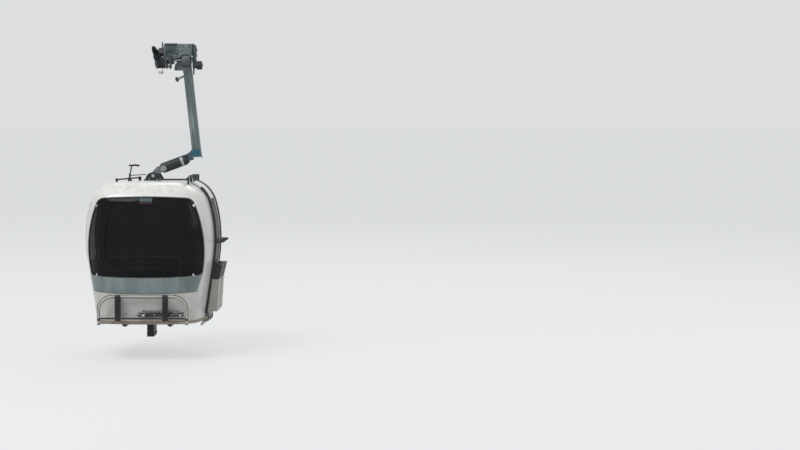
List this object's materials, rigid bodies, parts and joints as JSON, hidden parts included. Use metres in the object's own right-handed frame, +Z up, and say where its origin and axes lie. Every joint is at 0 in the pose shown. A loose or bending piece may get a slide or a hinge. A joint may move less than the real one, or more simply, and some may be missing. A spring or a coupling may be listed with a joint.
{
  "type": "gondola lift cabin",
  "caption": "Closed gondola lift cabin with sliding doors and ski racks, on an offset hanger with a sprung grip that clamps a moving rope.",
  "frame": {"origin": "on the rope's axis, midway along the grip's jaws", "axes": "+Z up, +X towards the door side, +Y down the slope along the line"},
  "size_m": [1.917, 1.9574, 4.0977],
  "materials": {
    "bench_grey": "moulded seat",
    "black_plastic": "fine grain",
    "black_rubber": "matte moulded rubber",
    "black_steel": "black coat",
    "bright_steel": "machined",
    "cabin_cream": "glossy cream coat with light dirt",
    "cast_grey": "galvanised casting",
    "door_frame": "satin coat",
    "floor_beige": "satin coat, worn",
    "floor_rubber": "ribbed mat",
    "galvanised": "dull hot-dip zinc",
    "housing_green": "dull green-grey coat over a casting",
    "plate_blue": "blank enamel plate",
    "rail_grey": "satin coat",
    "roller_black": "worn tread",
    "ski_box_grey": "satin coat, scuffed",
    "tinted_glass": "smooth dark tint"
  },
  "bodies": {
    "grip": {"grip_housing": "housing_green", "fixed_jaw": "black_steel", "grip_pins": "bright_steel", "grip_links": "black_steel", "pivot_shaft": "bright_steel", "wheel_axle": "bright_steel"},
    "cabin": {"bench_front": "bench_grey", "bench_rear": "bench_grey", "bumper_hoop_front": "rail_grey", "bumper_hoop_rear": "rail_grey", "bumper_straps_front": "black_rubber", "bumper_straps_rear": "black_rubber", "clevis_link": "cast_grey", "corner_plate": "plate_blue", "damper_body": "black_rubber", "door_bottom_rail": "rail_grey", "door_rod": "black_steel", "door_top_rail": "black_steel", "floor_frame": "rail_grey", "floor_pan": "floor_beige", "floor_plate": "floor_rubber", "front_gasket": "black_rubber", "front_shell": "cabin_cream", "front_window": "tinted_glass", "guide_block": "black_plastic", "guide_stub": "bright_steel", "hanger_arm": "galvanised", "hanger_head": "cast_grey", "hanger_tube": "galvanised", "latch_rods": "black_steel", "left_gasket": "black_rubber", "left_side": "cabin_cream", "left_window": "tinted_glass", "rear_gasket": "black_rubber", "rear_shell": "cabin_cream", "rear_window": "tinted_glass", "roof_bracket": "black_steel", "roof_linkage": "black_steel", "roof_shell": "cabin_cream", "window_rail_front": "rail_grey", "window_rail_rear": "rail_grey"},
    "moving_jaw": {"moving_jaw": "black_steel"},
    "closing_lever": {"closing_lever": "black_steel"},
    "lever_roller": {"lever_roller": "roller_black"},
    "running_wheel": {"running_wheel": "roller_black"},
    "guide_roller": {"guide_roller": "roller_black"},
    "door_front": {"door_carriers_front": "black_steel", "door_edge_front": "black_rubber", "door_glass_front": "tinted_glass", "door_leaf_front": "door_frame", "ski_boot_front": "black_plastic", "ski_box_front": "ski_box_grey", "ski_comb_front": "black_plastic"},
    "door_rear": {"door_carriers_rear": "black_steel", "door_edge_rear": "black_rubber", "door_glass_rear": "tinted_glass", "door_leaf_rear": "door_frame", "ski_boot_rear": "black_plastic", "ski_box_rear": "ski_box_grey", "ski_comb_rear": "black_plastic"}
  },
  "joints": [
    {"name": "hanger_swing", "type": "hinge", "parent": "grip", "child": "cabin", "pos_m": [0.4, 0, -0.05], "axis": [1, 0, 0], "range_deg": [-63, 27]},
    {"name": "lever_swing", "type": "hinge", "parent": "grip", "child": "closing_lever", "pos_m": [0.545, 0.11485, -0.13195], "axis": [0, 0.9511, -0.309], "range_deg": [0, 24], "stiffness_Nm_per_rad": 150, "springref_deg": -11.46},
    {"name": "jaw_swing", "type": "hinge", "parent": "grip", "child": "moving_jaw", "pos_m": [0.092, -0.01607, -0.04945], "axis": [0, -0.9511, 0.309], "range_deg": [0, 12]},
    {"name": "lever_roller_spin", "type": "hinge", "parent": "closing_lever", "child": "lever_roller", "pos_m": [0.59, 0.11485, -0.13195], "axis": [0, 0.9511, -0.309], "continuous": true},
    {"name": "running_wheel_spin", "type": "hinge", "parent": "grip", "child": "running_wheel", "pos_m": [0.592, -0.02486, -0.12651], "axis": [1, 0, 0], "continuous": true},
    {"name": "guide_roller_spin", "type": "hinge", "parent": "cabin", "child": "guide_roller", "pos_m": [0.278, 0, -0.321], "axis": [-0.8988, 0, -0.4384], "continuous": true},
    {"name": "door_front_slide", "type": "slide", "parent": "cabin", "child": "door_front", "axis": [0, -1, 0], "range_m": [0, 0.3]},
    {"name": "door_rear_slide", "type": "slide", "parent": "cabin", "child": "door_rear", "axis": [0, 1, 0], "range_m": [0, 0.3]}
  ],
  "couplings": [
    {"joint": "jaw_swing", "follows": "lever_swing", "ratio": 0.5},
    {"joint": "door_rear_slide", "follows": "door_front_slide", "ratio": 1}
  ]
}
